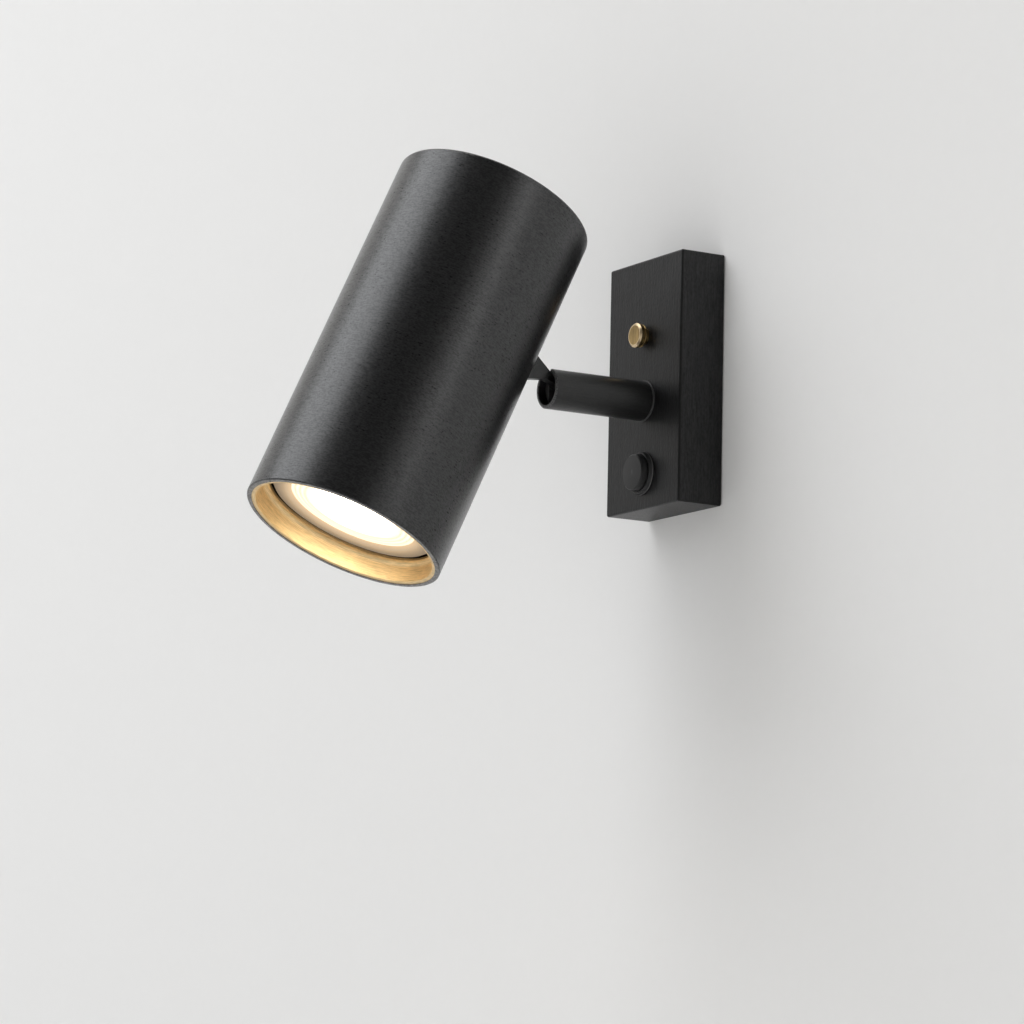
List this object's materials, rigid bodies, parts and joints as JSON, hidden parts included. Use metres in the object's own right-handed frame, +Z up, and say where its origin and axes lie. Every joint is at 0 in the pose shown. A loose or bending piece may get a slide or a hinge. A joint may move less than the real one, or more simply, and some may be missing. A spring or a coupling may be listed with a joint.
{
  "type": "pivoting spotlight wall light",
  "caption": "Wall light with a rectangular cover, a short swivelling tube arm and a cylindrical spot head that tilts on a lever, with a push button and a lined lamp mouth.",
  "frame": {"origin": "centre of the two wall screw slots, on the wall plane behind the cover", "axes": "+Z up the wall, +Y into the wall, -Y out of the wall towards the room, +X to the right for someone who faces the wall"},
  "size_m": [0.06, 0.143, 0.1273],
  "materials": {
    "black_head": "satin black, fine brushing round the cylinder",
    "black_cover": "matte black powder coat",
    "black_tube": "satin black paint",
    "brushed_brass": "brushed brass",
    "plated_brass": "nickel-plated brass",
    "zinc_steel": "zinc-plated steel",
    "spring_steel": "spring steel",
    "black_plastic": "semi-gloss black plastic",
    "black_nylon": "black nylon",
    "pale_plastic": "natural polyamide",
    "fibre": "red-brown vulcanised fibre",
    "ceramic": "unglazed steatite",
    "lamp_plastic": "pale grey moulded lamp body",
    "lens": "frosted lens, lit"
  },
  "bodies": {
    "wall_side": {"wall_cover": "black_cover", "mounting_bracket": "zinc_steel", "cover_standoff": "zinc_steel", "cover_screw": "brushed_brass", "arm_bush": "black_nylon", "friction_washer": "fibre", "switch_body": "black_plastic", "switch_nut": "plated_brass", "switch_terminals": "plated_brass", "terminal_block": "pale_plastic", "terminal_inserts": "plated_brass", "terminal_screws": "zinc_steel", "block_screw": "zinc_steel", "earth_washer": "zinc_steel", "earth_screw": "zinc_steel", "button_spring": "spring_steel"},
    "button": {"push_button": "black_plastic", "button_plunger": "black_plastic"},
    "arm": {"arm_tube": "black_tube", "arm_plug": "plated_brass", "arm_nipple": "zinc_steel", "tab_washer": "zinc_steel", "disc_spring": "spring_steel", "lock_nut": "zinc_steel", "knuckle_fork": "black_tube", "pivot_screw": "zinc_steel", "pivot_washers": "black_nylon"},
    "head": {"head_shell": "black_head", "knuckle_ear": "black_tube", "saddle_washer": "zinc_steel", "ear_nut": "zinc_steel", "lampholder_bracket": "zinc_steel", "lampholder": "ceramic", "holder_screws": "zinc_steel", "holder_contacts": "plated_brass", "brass_liner": "brushed_brass", "lamp_body": "lamp_plastic", "lamp_lens": "lens", "lamp_pins": "plated_brass"}
  },
  "joints": [
    {"name": "arm_swivel", "type": "hinge", "parent": "wall_side", "child": "arm", "pos_m": [0, -0.015, -0.0053], "axis": [0, -1, 0], "range_deg": [-160, 160]},
    {"name": "head_tilt", "type": "hinge", "parent": "arm", "child": "head", "pos_m": [0, -0.041, -0.0053], "axis": [-1, 0, 0], "range_deg": [-35, 35]},
    {"name": "switch_push", "type": "slide", "parent": "wall_side", "child": "button", "axis": [0, 1, 0], "range_m": [0, 0.0011], "stiffness_N_per_m": 400, "springref_m": -0.002, "deforming": ["button_spring"]}
  ]
}
